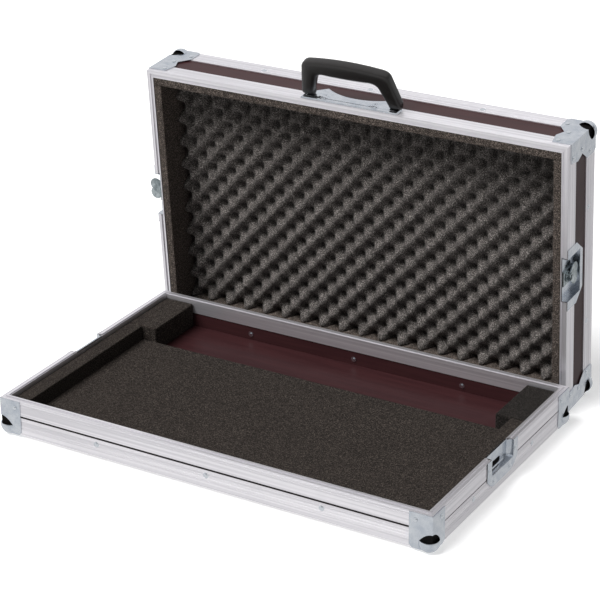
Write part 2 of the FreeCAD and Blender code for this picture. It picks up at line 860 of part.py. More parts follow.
def lid_parts():
    """Nodes of the lid and of what moves on it, in the lid's own tray frame."""
    void = pan_void(lid_height, latch_forward, pan_height)
    corner = ball_corner(lid_leg_outline(lid_height))
    nodes = tray_parts("lid", lid_height, lid_closing_leg, False, lid_names(), void, corner)
    for wall, angle in WALL_ANGLE.items():
        nodes["lid_" + lid_names()[wall] + "_foam_strip"] = [turned(ring_strip(wall), angle)]
    nodes["lid_egg_crate_foam"] = [egg_crate_foam()]
    dish = lid_latch_dish()
    cam = latch_cam()
    hook = latch_hook()
    wing = latch_wing()
    raised = mirrored_x(wing)
    pin_x, pin_z = latch_layers()[2], spindle_z()
    raised.rotate(Vector(-pin_x, latch_forward, pin_z), Vector(0, 1, 0), 90)
    nodes["lid_right_latch_dish"] = [dish]
    nodes["lid_left_latch_dish"] = [mirrored_x(dish)]
    nodes["right_latch_cam"] = [cam]
    nodes["left_latch_cam"] = [mirrored_x(cam)]
    nodes["right_latch_hook"] = [hook]
    nodes["left_latch_hook"] = [mirrored_x(hook)]
    nodes["right_latch_wing"] = [wing]
    nodes["left_latch_wing"] = [raised]
    handle = carry_handle()
    handle.rotate(handle_pivot(), Vector(1, 0, 0), handle_lean)
    nodes["carry_handle"] = [handle]
    nodes["handle_base_plate"] = [handle_base_plate()]
    nodes["handle_pins"] = handle_pins()
    return nodes


def lid_lean():
    """Angle that the standing lid leans forward, on its balls and its corner plates' front ends."""
    up = ball_centre + corner_plate
    back = lid_height - ball_centre - lid_corner_setback
    return math.atan2(back, up) - math.acos(ball_radius / math.hypot(up, back))


def lid_placement():
    """Stands the lid tray on its rear wall behind the base, with its rim towards the base."""
    lean = lid_lean()
    turn = Rotation(Vector(1, 0, 0), 90 + math.degrees(lean))
    foot = turn.multVec(Vector(0, -half_depth, lid_height))
    lift = corner_plate * math.cos(lean) - lid_corner_setback * math.sin(lean)
    return Placement(Vector(lid_shift, half_depth + lid_gap - foot.y, lift - foot.z), turn)


def export(name, solids, placement):
    """Writes one node's solids, placed, to its own STEP file."""
    shape = solids[0] if len(solids) == 1 else Part.makeCompound(solids)
    shape = shape.copy()
    shape.Placement = placement.multiply(shape.Placement)
    if not shape.isValid():
        print("not valid:", name)
    shape.exportStep("parts/" + name + ".step")


base_place = Placement(Vector(0, 0, ball_reach), Rotation())
lid_place = lid_placement()
for node, node_solids in base_parts().items():
    export(node, node_solids, base_place)
for node, node_solids in lid_parts().items():
    export(node, node_solids, lid_place)

print("lid lean, degrees:", round(math.degrees(lid_lean()), 3))
print("handle hinge:", lid_place.multVec(handle_pivot()))
for latch_side in (-1, 1):
    latch_pin = Vector(latch_side * latch_layers()[2], latch_forward, spindle_z())
    print("latch pin:", lid_place.multVec(latch_pin))
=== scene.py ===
import bmesh
import bpy
import json
import math
import numpy as np
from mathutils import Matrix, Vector


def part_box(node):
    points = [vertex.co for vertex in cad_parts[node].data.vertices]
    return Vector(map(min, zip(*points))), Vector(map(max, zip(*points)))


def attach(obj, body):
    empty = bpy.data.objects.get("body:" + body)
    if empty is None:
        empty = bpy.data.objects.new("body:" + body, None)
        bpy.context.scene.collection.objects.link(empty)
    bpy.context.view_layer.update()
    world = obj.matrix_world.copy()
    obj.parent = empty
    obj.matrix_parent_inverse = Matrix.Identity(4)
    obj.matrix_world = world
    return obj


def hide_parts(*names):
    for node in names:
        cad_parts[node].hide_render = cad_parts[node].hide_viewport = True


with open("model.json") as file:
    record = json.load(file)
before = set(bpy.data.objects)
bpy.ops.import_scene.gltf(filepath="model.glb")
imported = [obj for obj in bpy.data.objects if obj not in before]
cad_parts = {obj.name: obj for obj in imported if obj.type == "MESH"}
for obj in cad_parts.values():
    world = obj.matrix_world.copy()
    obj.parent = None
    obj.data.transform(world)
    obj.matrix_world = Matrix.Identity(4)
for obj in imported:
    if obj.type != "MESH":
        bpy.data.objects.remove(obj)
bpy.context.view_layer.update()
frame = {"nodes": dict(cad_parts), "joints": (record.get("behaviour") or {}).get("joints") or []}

# Camera and studio.
# The camera stands right of the front and looks down by 25 degrees, through a long lens.
# The case stands on a plain white floor, under one soft light from the upper left, like a wide window.

camera_data = bpy.data.cameras.new("camera")
camera_data.sensor_width = 36.0
camera_data.lens = 132.88
camera_data.shift_x = 0.02316
camera_data.shift_y = 0.01795
camera_data.clip_end = 20.0
camera = bpy.data.objects.new("camera", camera_data)
camera.location = (1.55331, -2.56717, 1.58167)
camera.rotation_euler = [math.radians(turn) for turn in (65.23975, 0.78137, 30.74245)]
bpy.context.scene.collection.objects.link(camera)
bpy.context.scene.camera = camera
bpy.context.scene.view_settings.view_transform = "Standard"


class Signal:
    """One output socket of a node, which Python arithmetic joins with Math nodes."""

    def __init__(self, finish, socket):
        self.finish = finish
        self.socket = socket

    def _join(self, operation, first, second=0.0):
        return self.finish.node("Math", {"operation": operation}, {0: first, 1: second})

    def __add__(self, other):
        return self._join("ADD", self, other)

    __radd__ = __add__

    def __sub__(self, other):
        return self._join("SUBTRACT", self, other)

    def __rsub__(self, other):
        return self._join("SUBTRACT", other, self)

    def __mul__(self, other):
        return self._join("MULTIPLY", self, other)

    __rmul__ = __mul__

    def __truediv__(self, other):
        return self._join("DIVIDE", self, other)

    def __pow__(self, other):
        return self._join("POWER", self, other)

    def above(self, edge, soft):
        """0 below the edge and 1 above it, with a smooth step of that width."""
        settings = {"interpolation_type": "SMOOTHSTEP"}
        span = {"From Min": edge - soft / 2, "From Max": edge + soft / 2}
        return self.finish.node("MapRange", settings, {"Value": self, **span}, "Result")


class Finish:
    """A material with one Principled shader, whose varying inputs are wired from Signals."""

    def __init__(self, name, **fixed):
        self.material = bpy.data.materials.new(name)
        self.material.use_nodes = True
        self.tree = self.material.node_tree
        self.shader = self.tree.nodes["Principled BSDF"]
        for socket, value in fixed.items():
            self.put(self.shader.inputs[socket.replace("_", " ")], value)

    def put(self, socket, value):
        """Links a Signal to a socket, or sets the socket's own value."""
        if isinstance(value, Signal):
            self.tree.links.new(value.socket, socket)
        elif hasattr(socket.default_value, "__len__") and len(socket.default_value) == 4 and len(value) == 3:
            socket.default_value = (*value, 1.0)
        else:
            socket.default_value = value

    def node(self, kind, settings=None, links=None, output=0):
        """A node of that kind: its settings are made first, then its sockets, and one output comes back."""
        made = self.tree.nodes.new("ShaderNode" + kind)
        for name, value in (settings or {}).items():
            if name == "stops":
                ramp = made.color_ramp
                while len(ramp.elements) < len(value):
                    ramp.elements.new(0.5)
                for element, (place, colour) in zip(ramp.elements, value):
                    element.position = place
                    element.color = (*colour, 1.0)
            else:
                setattr(made, name, value)
        for name, value in (links or {}).items():
            self.put(made.inputs[name], value)
        return Signal(self, made.outputs[output])

    def place(self, turn=(0.0, 0.0, 0.0), stretch=(1.0, 1.0, 1.0)):
        """Object coordinates in metres, turned first and then stretched."""
        settings = {"vector_type": "POINT"}
        where = self.node("TexCoord", output="Object")
        turned_place = self.node("Mapping", settings, {"Vector": where, "Rotation": turn})
        return self.node("Mapping", settings, {"Vector": turned_place, "Scale": stretch})

    def noise(self, where, scale, detail=2.0, rough=0.5):
        """Smooth noise from 0 to 1."""
        links = {"Vector": where, "Scale": scale, "Detail": detail, "Roughness": rough}
        return self.node("TexNoise", None, links, "Fac")

    def cells(self, where, scale, feature="F1", output="Distance"):
        """Voronoi cells: the distance to the nearest point, or to the nearest wall."""
        return self.node("TexVoronoi", {"feature": feature}, {"Vector": where, "Scale": scale}, output)

    def blend(self, share, first, second):
        """A colour that goes from first to second as share goes from 0 to 1."""
        links = {"Factor": share, 6: first, 7: second}
        return self.node("Mix", {"data_type": "RGBA"}, links, 2)

    def bump(self, height, strength, depth):
        """A normal bent by a height field, whose full range is that deep in metres."""
        links = {"Height": height, "Strength": strength, "Distance": depth}
        return self.node("Bump", None, links, "Normal")

    def wear(self, socket, value):
        """Feeds one of the shader's sockets."""
        self.put(self.shader.inputs[socket], value)


def backdrop_share(material, shown, mirrored):
    """Camera and transmission rays meet one surface, glossy rays another, all others the lit one."""
    tree = material.node_tree
    out = next(node for node in tree.nodes if node.type in ("OUTPUT_MATERIAL", "OUTPUT_WORLD"))
    lit = out.inputs["Surface"].links[0].from_socket
    path = tree.nodes.new("ShaderNodeLightPath")
    for ray, seen in (("Is Transmission Ray", shown), ("Is Glossy Ray", mirrored), ("Is Camera Ray", shown)):
        mix = tree.nodes.new("ShaderNodeMixShader")
        tree.links.new(path.outputs[ray], mix.inputs[0])
        tree.links.new(lit, mix.inputs[1])
        tree.links.new(seen, mix.inputs[2])
        lit = mix.outputs[0]
    tree.links.new(lit, out.inputs["Surface"])


floor_mesh = bpy.data.meshes.new("studio_floor")
floor_mesh.from_pydata([(-9, -9, 0), (9, -9, 0), (9, 9, 0), (-9, 9, 0)], [], [(0, 1, 2, 3)])
floor = bpy.data.objects.new("studio_floor", floor_mesh)
bpy.context.scene.collection.objects.link(floor)
floor_finish = Finish("studio_floor", Base_Color=(0.75, 0.75, 0.75), Roughness=0.9)
floor_glow = floor_finish.tree.nodes.new("ShaderNodeEmission")
floor_glow.inputs["Strength"].default_value = 0.5
floor_add = floor_finish.tree.nodes.new("ShaderNodeAddShader")
floor_finish.tree.links.new(floor_finish.shader.outputs[0], floor_add.inputs[0])
floor_finish.tree.links.new(floor_glow.outputs[0], floor_add.inputs[1])
floor_place = floor_finish.place()
floor_side = floor_finish.node("SeparateXYZ", None, {"Vector": floor_place}, "X")
floor_side = floor_side + floor_finish.node("SeparateXYZ", None, {"Vector": floor_place}, "Y")
floor_mirror = floor_finish.tree.nodes.new("ShaderNodeEmission")
floor_finish.put(floor_mirror.inputs["Strength"], 0.86 - floor_side.above(0.18, 0.30) * 0.20)
backdrop_share(floor_finish.material, floor_add.outputs[0], floor_mirror.outputs[0])
floor.data.materials.append(floor_finish.material)

world = bpy.data.worlds.new("studio")
world.use_nodes = True
bpy.context.scene.world = world
world_nodes, world_links = world.node_tree.nodes, world.node_tree.links
world_nodes["Background"].inputs["Color"].default_value = (1.0, 1.0, 1.0, 1.0)
world_nodes["Background"].inputs["Strength"].default_value = 0.20
white = world_nodes.new("ShaderNodeBackground")
white.inputs["Color"].default_value = (1.0, 1.0, 1.0, 1.0)
sky_way = world_nodes.new("ShaderNodeTexCoord")
sky_side = world_nodes.new("ShaderNodeVectorMath")
sky_side.operation = "DOT_PRODUCT"
sky_side.inputs[1].default_value = (0.86, -0.5, 0.0)
sky_height = world_nodes.new("ShaderNodeSeparateXYZ")
sky_bands = world_nodes.new("ShaderNodeValToRGB")
for place, level in ((0.0, 0.72), (0.22, 0.60), (0.34, 0.20), (0.58, 0.24), (0.74, 1.0)):
    band = sky_bands.color_ramp.elements.new(place)
    band.color = (level, level, level, 1.0)
sky_share = world_nodes.new("ShaderNodeMapRange")
sky_share.inputs["From Min"].default_value = -0.25
sky_share.inputs["From Max"].default_value = 0.45
sky_mix = world_nodes.new("ShaderNodeMix")
sky_mix.data_type = "RGBA"
sky_mix.inputs[6].default_value = (0.84, 0.84, 0.85, 1.0)
sky_mirror = world_nodes.new("ShaderNodeBackground")
world_links.new(sky_way.outputs["Generated"], sky_side.inputs[0])
world_links.new(sky_way.outputs["Generated"], sky_height.inputs[0])
world_links.new(sky_height.outputs["Z"], sky_bands.inputs["Fac"])
world_links.new(sky_side.outputs["Value"], sky_share.inputs["Value"])
world_links.new(sky_share.outputs["Result"], sky_mix.inputs["Factor"])
world_links.new(sky_bands.outputs["Color"], sky_mix.inputs[7])
world_links.new(sky_mix.outputs[2], sky_mirror.inputs["Color"])
backdrop_share(world, white.outputs[0], sky_mirror.outputs[0])


key_data = bpy.data.lights.new("key_light", "SUN")
key_data.energy = 3.7
key_data.angle = math.radians(34)
key = bpy.data.objects.new("key_light", key_data)
key.visible_glossy = False
key.rotation_euler = Vector((0.9, 1.4, -2.4)).to_track_quat("-Z", "Y").to_euler()
bpy.context.scene.collection.objects.link(key)


# The lid's own frame.
# The loose lid stands on its rear wall and leans forward, so its patterns are turned with it.
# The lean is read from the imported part: the axis of a folding key runs up the lid's side.

fold_axis = next(joint for joint in frame["joints"] if joint["name"] == "right_wing_fold")["axis"]
lid_up = -np.array(fold_axis)
lid_lean = math.atan2(-lid_up[1], lid_up[2])
lid_turn = math.pi / 2 + lid_lean


def paint(finish, *nodes):
    """Puts one finish on CAD nodes that keep their own shape."""
    for node in nodes:
        piece = frame["nodes"][node]
        piece.data.materials.clear()
        piece.data.materials.append(finish.material)


# Plywood panels.
# Birch plywood faced with a dark red-brown phenolic film, which is hard, smooth and a little
# glossy. The film shows faint streaks of the veneer below and fine wire marks.


def film_finish(name, turn):
    """Dark red film: streaks along the veneer tint it, and a fine weave dents it."""
    finish = Finish(name, Specular_IOR_Level=0.12, Coat_Weight=0.05, Coat_Roughness=0.12)
    grain = finish.noise(finish.place(turn, (9.0, 160.0, 160.0)), 1.0, 4.0, 0.6)
    cloud = finish.noise(finish.place(turn), 14.0, 3.0, 0.5)
    tint = finish.blend(grain.above(0.52, 0.3), (0.038, 0.0140, 0.0155), (0.050, 0.0185, 0.0200))
    finish.wear("Base Color", finish.blend(cloud * 0.35, tint, (0.032, 0.012, 0.013)))
    finish.wear("Roughness", 0.30 + cloud * 0.14 + grain * 0.06)
    weave = finish.cells(finish.place(turn), 900.0) * 0.4 + grain * 0.6
    finish.wear("Normal", finish.bump(weave, 0.25, 0.00018))
    return finish


paint(
    film_finish("dark_red_film_base", (0.0, 0.0, 0.0)),
    "base_floor_panel", "base_front_panel", "base_rear_panel", "base_left_panel", "base_right_panel",
)
paint(
    film_finish("dark_red_film_lid", (-lid_turn, 0.0, 0.0)),
    "lid_top_panel", "lid_front_panel", "lid_rear_panel", "lid_left_panel", "lid_right_panel",
)


# Aluminium extrusions.
# Angle and channel profiles in mill-finish aluminium. Die lines run along their length, and
# handling has left a few light scratches and dull patches.


def extrusion_finish(name, turn):
    """Satin aluminium: fine lines along the profile change its gloss and dent it."""
    finish = Finish(name, Metallic=0.76)
    lines = finish.noise(finish.place(turn, (3.0, 1900.0, 1900.0)), 1.0, 3.0, 0.6)
    broad = finish.noise(finish.place(turn, (2.0, 260.0, 260.0)), 1.0, 2.0, 0.5)
    patch = finish.noise(finish.place(turn), 22.0, 4.0, 0.6)
    tint = finish.blend(lines * 0.3 + broad.above(0.5, 0.35) * 0.7, (0.66, 0.645, 0.68), (0.92, 0.90, 0.935))
    finish.wear("Base Color", finish.blend(patch.above(0.62, 0.3) * 0.4, tint, (0.72, 0.71, 0.745)))
    finish.wear("Roughness", 0.24 + lines * 0.14 + patch * 0.10)
    finish.wear("Normal", finish.bump(lines * 0.5 + broad * 0.5, 0.30, 0.00012))
    return finish


along_x = extrusion_finish("aluminium_along_case", (0.0, 0.0, 0.0))
along_y = extrusion_finish("aluminium_across_base", (0.0, 0.0, -math.pi / 2))
up_lid = extrusion_finish("aluminium_up_lid", (-lid_lean, math.pi / 2, 0.0))
for kind in ("edge_profile", "closing_profile"):
    paint(along_x, "base_front_" + kind, "base_rear_" + kind, "lid_front_" + kind, "lid_rear_" + kind)
    paint(along_y, "base_left_" + kind, "base_right_" + kind)
    paint(up_lid, "lid_left_" + kind, "lid_right_" + kind)


# Front gap, with painted shade.
# Between the edge and the closing extrusion the panel's dark film shows as a narrow band. It is
# a thin, slightly crowned strip that lies over the edge extrusion's upper border. Its near-black
# colour, darker than the film, is painted shade of the gap.

gap_low, gap_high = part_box("base_front_closing_profile")
gap_along, gap_turn = np.meshgrid(
    np.linspace(gap_low[0] + 0.034, gap_high[0] - 0.034, 60), np.linspace(0, math.pi, 9), indexing="ij"
)
gap_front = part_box("base_front_edge_profile")[0][1]
gap_points = np.stack([
    gap_along, gap_front - 0.00025 * np.sin(gap_turn), gap_low[2] - 0.0012 - 0.0015 * np.cos(gap_turn)
], -1)
gap_index = np.arange(gap_along.size).reshape(gap_along.shape)
gap_faces = np.stack([gap_index[:-1, :-1], gap_index[1:, :-1], gap_index[1:, 1:], gap_index[:-1, 1:]], -1)
# Painted shade: the strip's colour is near black, darker than the film, for the shade in the gap.
gap_shade_paint = Finish("dark_gap_film", Roughness=0.6, Specular_IOR_Level=0.1)
gap_shade_paint.wear(
    "Base Color", gap_shade_paint.blend(gap_shade_paint.noise(gap_shade_paint.place(), 200.0), (0.006, 0.005, 0.005), (0.016, 0.012, 0.012))
)
gap_mesh = bpy.data.meshes.new("front_gap_strip")
gap_mesh.from_pydata(gap_points.reshape(-1, 3).tolist(), [], gap_faces.reshape(-1, 4).tolist())
gap_mesh.materials.append(gap_shade_paint.material)
gap_shade_strip = bpy.data.objects.new("front_gap_strip", gap_mesh)
bpy.context.scene.collection.objects.link(gap_shade_strip)
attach(gap_shade_strip, "base")


# Plated steel fittings.
# Corners, dishes and the handle's plate are pressed from sheet steel and zinc plated: bluish,
# with a faint cloudy bloom and fine rolling marks.


def plated_finish(name, cool, rough, bloomed=(0.66, 0.69, 0.73)):
    """Zinc-plated steel: cloudy tint and gloss, fine specks and shallow dents."""
    finish = Finish(name, Metallic=1.0)
    bloom = finish.noise(finish.place(), 65.0, 4.0, 0.6)
    speck = finish.noise(finish.place(), 950.0, 2.0, 0.5)
    dent = finish.noise(finish.place(), 190.0, 2.0, 0.5)
    finish.wear("Base Color", finish.blend(bloom.above(0.5, 0.5), cool, bloomed))
    finish.wear("Roughness", rough + bloom * 0.14 + speck * 0.06)
    finish.wear("Normal", finish.bump(dent * 0.7 + speck * 0.3, 0.25, 0.0002))
    return finish


zinc = plated_finish("zinc_plate", (0.50, 0.54, 0.60), 0.13)
# The latch's cam, wing and hook are zinc-plated steel painted dark and teal: painted reflection of the dark foam and
# lid round them, and painted shade.
latch_painted_reflection = plated_finish("blue_latch_plate", (0.10, 0.13, 0.14), 0.10, (0.50, 0.55, 0.57))
bright = plated_finish("bright_plate", (0.66, 0.70, 0.74), 0.12)
paint(
    zinc, "lid_right_latch_dish", "lid_left_latch_dish",
)
paint(
    latch_painted_reflection, "right_latch_cam", "left_latch_cam", "right_latch_wing", "left_latch_wing",
    "right_latch_hook", "left_latch_hook",
)
paint(bright, "handle_pins", "base_edge_rivets", "lid_edge_rivets")


# Soft foam in the base.
# Pads, strips and blocks cut from dark grey open-cell foam. Cut edges are slightly rounded,
# faces wander a little, and the open cells give a grainy, speckled face: painted shade darkens
# the pits of the cells, and painted glints light a few cell walls.


def foam_finish(name, level, warmth):
    """Open-cell foam: cells dent the face and painted shade darkens their pits, and painted glints light a few cell
    walls.
    """
    finish = Finish(name, Roughness=0.95, Specular_IOR_Level=0.1, Sheen_Weight=0.02, Sheen_Roughness=0.6)
    here = finish.place()
    pore = finish.cells(here, 620.0)
    pore_fine = finish.cells(here, 1350.0)
    cloud = finish.noise(here, 48.0, 3.0, 0.6)
    wall = finish.noise(here, 560.0, 3.0, 0.8)
    warm = np.array([1.0 + warmth, 1.0, 1.0 - 0.6 * warmth]) * level
    # Painted shade: the tint is darker far from the cell points, in the same pits that the bump dents.
    tint = finish.blend(pore.above(0.45, 0.7), tuple(warm * 1.5), tuple(warm * 0.55))
    tint = finish.blend(cloud.above(0.5, 0.5) * 0.5, tint, tuple(warm * 0.7))
    # Painted glints: a few spots of the wall noise are raised to several times the foam's level, as cell walls catching
    # light.
    finish.wear("Base Color", finish.blend(wall.above(0.56, 0.14) * 0.85, tint, tuple(warm * 5.5)))
    height = pore * -0.6 + pore_fine * -0.3 + cloud * 0.2
    finish.wear("Normal", finish.bump(height, 0.8, 0.0014))
    return finish


foam = foam_finish("grey_open_cell_foam", 0.0165, 0.22)
ring_foam = foam_finish("brown_grey_foam", 0.040, 0.22)
crate_foam = foam_finish("moulded_grey_foam", 0.060, 0.10)
# The right block gets the same foam finish at a lower level, so that block renders darker.
darker_block_foam = foam_finish("dark_grey_foam", 0.010, 0.15)


def foam_slab(name, low, high, edge, step, sag, seed, finish=foam):
    """A cut foam block. Each face is a grid; a point is pulled in to the inner box and pushed out
    again by the edge radius, and long waves of a fraction of a millimetre move it along that way."""
    low, high = np.array(low), np.array(high)
    points, faces, count = [], [], 0
    for axis in range(3):
        for side in (0, 1):
            others = [other for other in range(3) if other != axis]
            spans = [high[other] - low[other] for other in others]
            grids = []
            for other, span in zip(others, spans):
                inner = np.linspace(low[other] + edge, high[other] - edge, max(2, int(span / step)))
                rim = edge * (1 - np.cos(np.linspace(0, math.pi / 2, 4)[:3]))
                grids.append(np.concatenate([low[other] + rim, inner, (high[other] - rim)[::-1]]))
            first, second = np.meshgrid(*grids, indexing="ij")
            block = np.empty((*first.shape, 3))
            block[..., others[0]], block[..., others[1]] = first, second
            block[..., axis] = high[axis] if side else low[axis]
            core = np.clip(block, low + edge, high - edge)
            away = block - core
            reach = np.linalg.norm(away, axis=-1, keepdims=True)
            way = away / np.maximum(reach, 1e-9)
            wave = np.sin(23 * block[..., 0] + seed) * np.sin(19 * block[..., 1] + 2 * seed)
            wave = wave + 0.6 * np.sin(47 * block[..., 1] + 31 * block[..., 2] + seed)
            block = core + way * (edge - sag * (0.5 + 0.3 * wave))[..., None]
            rows, columns = first.shape
            index = count + np.arange(rows * columns).reshape(rows, columns)
            quads = np.stack([index[:-1, :-1], index[1:, :-1], index[1:, 1:], index[:-1, 1:]], -1).reshape(-1, 4)
            flip = (side == 0) != (axis == 1)
            faces.append(quads[:, ::-1] if flip else quads)
            points.append(block.reshape(-1, 3))
            count += rows * columns
    return surface(name, np.concatenate(points), np.concatenate(faces), finish, weld=True)


def surface(name, points, faces, finish, weld=False, caps=()):
    """A mesh object from arrays of points and faces, shaded smooth, with doubles merged if asked."""
    mesh = bpy.data.meshes.new(name)
    mesh.from_pydata(points.tolist(), [], faces.tolist() + list(caps))
    if weld:
        work = bmesh.new()
        work.from_mesh(mesh)
        bmesh.ops.remove_doubles(work, verts=work.verts, dist=1e-6)
        bmesh.ops.recalc_face_normals(work, faces=work.faces)
        work.to_mesh(mesh)
        work.free()
    mesh.polygons.foreach_set("use_smooth", np.ones(len(mesh.polygons), dtype=bool))
    mesh.materials.append(finish.material)
    piece = bpy.data.objects.new(name, mesh)
    bpy.context.scene.collection.objects.link(piece)
    return piece


base_foam = {
    "foam_bed": ("base_foam_bed", 0.0016, 0.3),
    "foam_strip_right": ("base_right_foam_strip", 0.0016, 1.1),
    "foam_strip_left": ("base_left_foam_strip", 0.0016, 2.3),
    "foam_block_right": ("base_right_foam_block", 0.0018, 3.9),
    "foam_block_left": ("base_left_foam_block", 0.0018, 5.1),
}
for name, (node, edge, seed) in base_foam.items():
    low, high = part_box(node)
    slab = foam_slab(name, low, high, edge, 0.006, 0.0006, seed, darker_block_foam if name == "foam_block_right" else foam)
    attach(slab, "base")
    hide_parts(node)


# Foam in the lid.
# Four strips line the walls, flush with the rim, and an egg-crate sheet covers the closed face:
# it is cut by rollers, so round peaks and pits take turns in both directions.


def lid_point(points):
    """Points (x, v up the lid, w in from the rim) in metres, turned into the standing lid's place."""
    x, v, w = points[..., 0], points[..., 1], points[..., 2]
    s, c = math.sin(lid_lean), math.cos(lid_lean)
    y = lid_foot[1] - v * s + w * c
    z = lid_foot[2] + v * c + w * s
    return np.stack([lid_foot[0] + x, y, z], -1)


lid_pin = np.array(next(joint for joint in frame["joints"] if joint["name"] == "right_latch_turn")["pos_m"])
pin_v, pin_w, pin_x = 0.2305, 0.017, 0.3656
lid_foot = np.array([
    lid_pin[0] - pin_x,
    lid_pin[1] + pin_v * math.sin(lid_lean) - pin_w * math.cos(lid_lean),
    lid_pin[2] - pin_v * math.cos(lid_lean) - pin_w * math.sin(lid_lean),
])

lid_width, lid_tall, lid_deep, rim_wide = 0.736, 0.449, 0.095, 0.011
ring_thick, ring_gap, ring_back = 0.013, 0.0003, 0.0006
inner_x = lid_width / 2 - rim_wide
inner_v = lid_tall - rim_wide
top_face = lid_deep - 0.0095


def lid_strip(name, low, high, seed):
    """A foam slab of the lid, made in the lid's own directions and then turned into place."""
    slab = foam_slab(name, low, high, 0.0012, 0.006, 0.0004, seed, ring_foam)
    flat = np.empty(len(slab.data.vertices) * 3)
    slab.data.vertices.foreach_get("co", flat)
    slab.data.vertices.foreach_set("co", lid_point(flat.reshape(-1, 3)).ravel())
    slab.data.flip_normals()
    slab.data.update()
    return slab


ring_x = inner_x - ring_gap
lid_strips = {
    "lid_foam_bottom": ("lid_rear_foam_strip", (-ring_x, rim_wide + ring_gap), (ring_x, rim_wide + ring_gap + ring_thick)),
    "lid_foam_top": ("lid_front_foam_strip", (-ring_x, inner_v - ring_gap - ring_thick), (ring_x, inner_v - ring_gap)),
    "lid_foam_left": (
        "lid_left_foam_strip",
        (-ring_x, rim_wide + 2 * ring_gap + ring_thick), (-ring_x + ring_thick, inner_v - 2 * ring_gap - ring_thick),
    ),
    "lid_foam_right": (
        "lid_right_foam_strip",
        (ring_x - ring_thick, rim_wide + 2 * ring_gap + ring_thick), (ring_x, inner_v - 2 * ring_gap - ring_thick),
    ),
}
for seed, (name, (node, low, high)) in enumerate(lid_strips.items()):
    strip = lid_strip(name, (*low, ring_back), (*high, top_face), 0.7 + seed)
    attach(strip, "lid")
    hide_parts(node)


crate_pitch_x, crate_pitch_v = 0.0364, 0.0403
crate_peak_x, crate_peak_v = 0.0027, 0.0075
crate_level, crate_rise, crate_dip = 0.051, 0.010, 0.017


def egg_crate(columns, rows):
    """The sheet's open face follows the product of two cosines: broad peaks rise where it is
    positive, and narrower, deeper pits sink where it is negative. The edge turns down to the lid."""
    half_x = inner_x - ring_thick - 3 * ring_gap
    v0 = rim_wide + ring_thick + 3 * ring_gap
    v1 = lid_tall - v0
    across, up = np.meshgrid(np.linspace(0, 1, columns), np.linspace(0, 1, rows), indexing="ij")
    turn_x = 2 * math.pi * (-half_x + 2 * half_x * across - crate_peak_x) / crate_pitch_x
    turn_v = 2 * math.pi * (v0 + (v1 - v0) * up - crate_peak_v) / crate_pitch_v
    lattice = np.cos(turn_x) * np.cos(turn_v)
    swell = np.where(lattice > 0, crate_rise * np.abs(lattice) ** 0.9, -crate_dip * np.abs(lattice) ** 1.4)
    drift = 0.0007 * np.sin(31 * across + 17 * up) + 0.0005 * np.sin(53 * up - 11 * across)
    depth = crate_level - swell + drift
    points = np.stack([-half_x + 2 * half_x * across, v0 + (v1 - v0) * up, depth], -1)
    index = np.arange(columns * rows).reshape(columns, rows)
    quads = np.stack([index[:-1, :-1], index[:-1, 1:], index[1:, 1:], index[1:, :-1]], -1).reshape(-1, 4)
    rim = np.concatenate([index[:, 0], index[-1, 1:], index[-2::-1, -1], index[0, -2:0:-1]])
    foot = points.reshape(-1, 3)[rim].copy()
    foot[:, 2] = top_face
    first = columns * rows + np.arange(len(rim))
    skirt = np.stack([rim, np.roll(rim, -1), np.roll(first, -1), first], -1)
    everything = np.concatenate([points.reshape(-1, 3), foot])
    mesh_faces = quads.tolist() + skirt.tolist() + [first[::-1].tolist()]
    piece_mesh = bpy.data.meshes.new("egg_crate_foam")
    piece_mesh.from_pydata(lid_point(everything).tolist(), [], mesh_faces)
    smooth = np.zeros(len(piece_mesh.polygons), dtype=bool)
    smooth[: len(quads)] = True
    piece_mesh.polygons.foreach_set("use_smooth", smooth)
    piece_mesh.materials.append(crate_foam.material)
    piece = bpy.data.objects.new("egg_crate_foam", piece_mesh)
    bpy.context.scene.collection.objects.link(piece)
    return piece


crate = egg_crate(345, 205)
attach(crate, "lid")
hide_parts("lid_egg_crate_foam")


# Ball corners.
# Each is pressed from zinc-plated steel: three plates folded over the corner, held by domed rivets,
# and a hollow ball that stands proud of them, with its top open like a cup over a dark gap. The
# cup's inside and two sheets behind the plates are painted near black: painted shade of the hollow.

# Painted shade: a near-black finish for hollows that lie in shade, the corners' cups and gaps and the keepers' slots.
painted_hollow_shade = Finish("dark_gap", Roughness=0.9, Specular_IOR_Level=0.05)
painted_hollow_shade.wear("Base Color", painted_hollow_shade.blend(painted_hollow_shade.noise(painted_hollow_shade.place(), 300.0), (0.004, 0.004, 0.004), (0.010, 0.009, 0.009)))
base_wide, base_long, base_up, sheet_thick = 0.736, 0.4488, 0.0063, 0.001
ball_round, ball_in, cup_lip = 0.0155, 0.0102, 0.0038


def grid_part(points, inside, probe=0.5, wrap=False):
    """Faces of a grid of points (rows, columns), turned so that its probed row faces away from a point."""
    if wrap:
        points = np.concatenate([points, points[:, :1]], axis=1)
    rows, columns = points.shape[:2]
    index = np.arange(rows * columns).reshape(rows, columns)
    quads = np.stack([index[:-1, :-1], index[1:, :-1], index[1:, 1:], index[:-1, 1:]], -1)
    row = quads[min(rows - 2, int(probe * (rows - 1)))]
    flat = points.reshape(-1, 3)
    spin = np.cross(flat[row[:, 2]] - flat[row[:, 0]], flat[row[:, 3]] - flat[row[:, 1]])
    if np.sum(spin * (flat[row].mean(1) - inside)) < 0:
        quads = quads[..., ::-1]
    return flat, quads.reshape(-1, 4)


def along_outline(corners, steps):
    """Points on straight runs between corners, with that many steps on each run."""
    runs = [
        np.linspace(first, last, count, endpoint=False)
        for first, last, count in zip(corners[:-1], corners[1:], steps)
    ]
    return np.concatenate([*runs, [corners[-1]]])


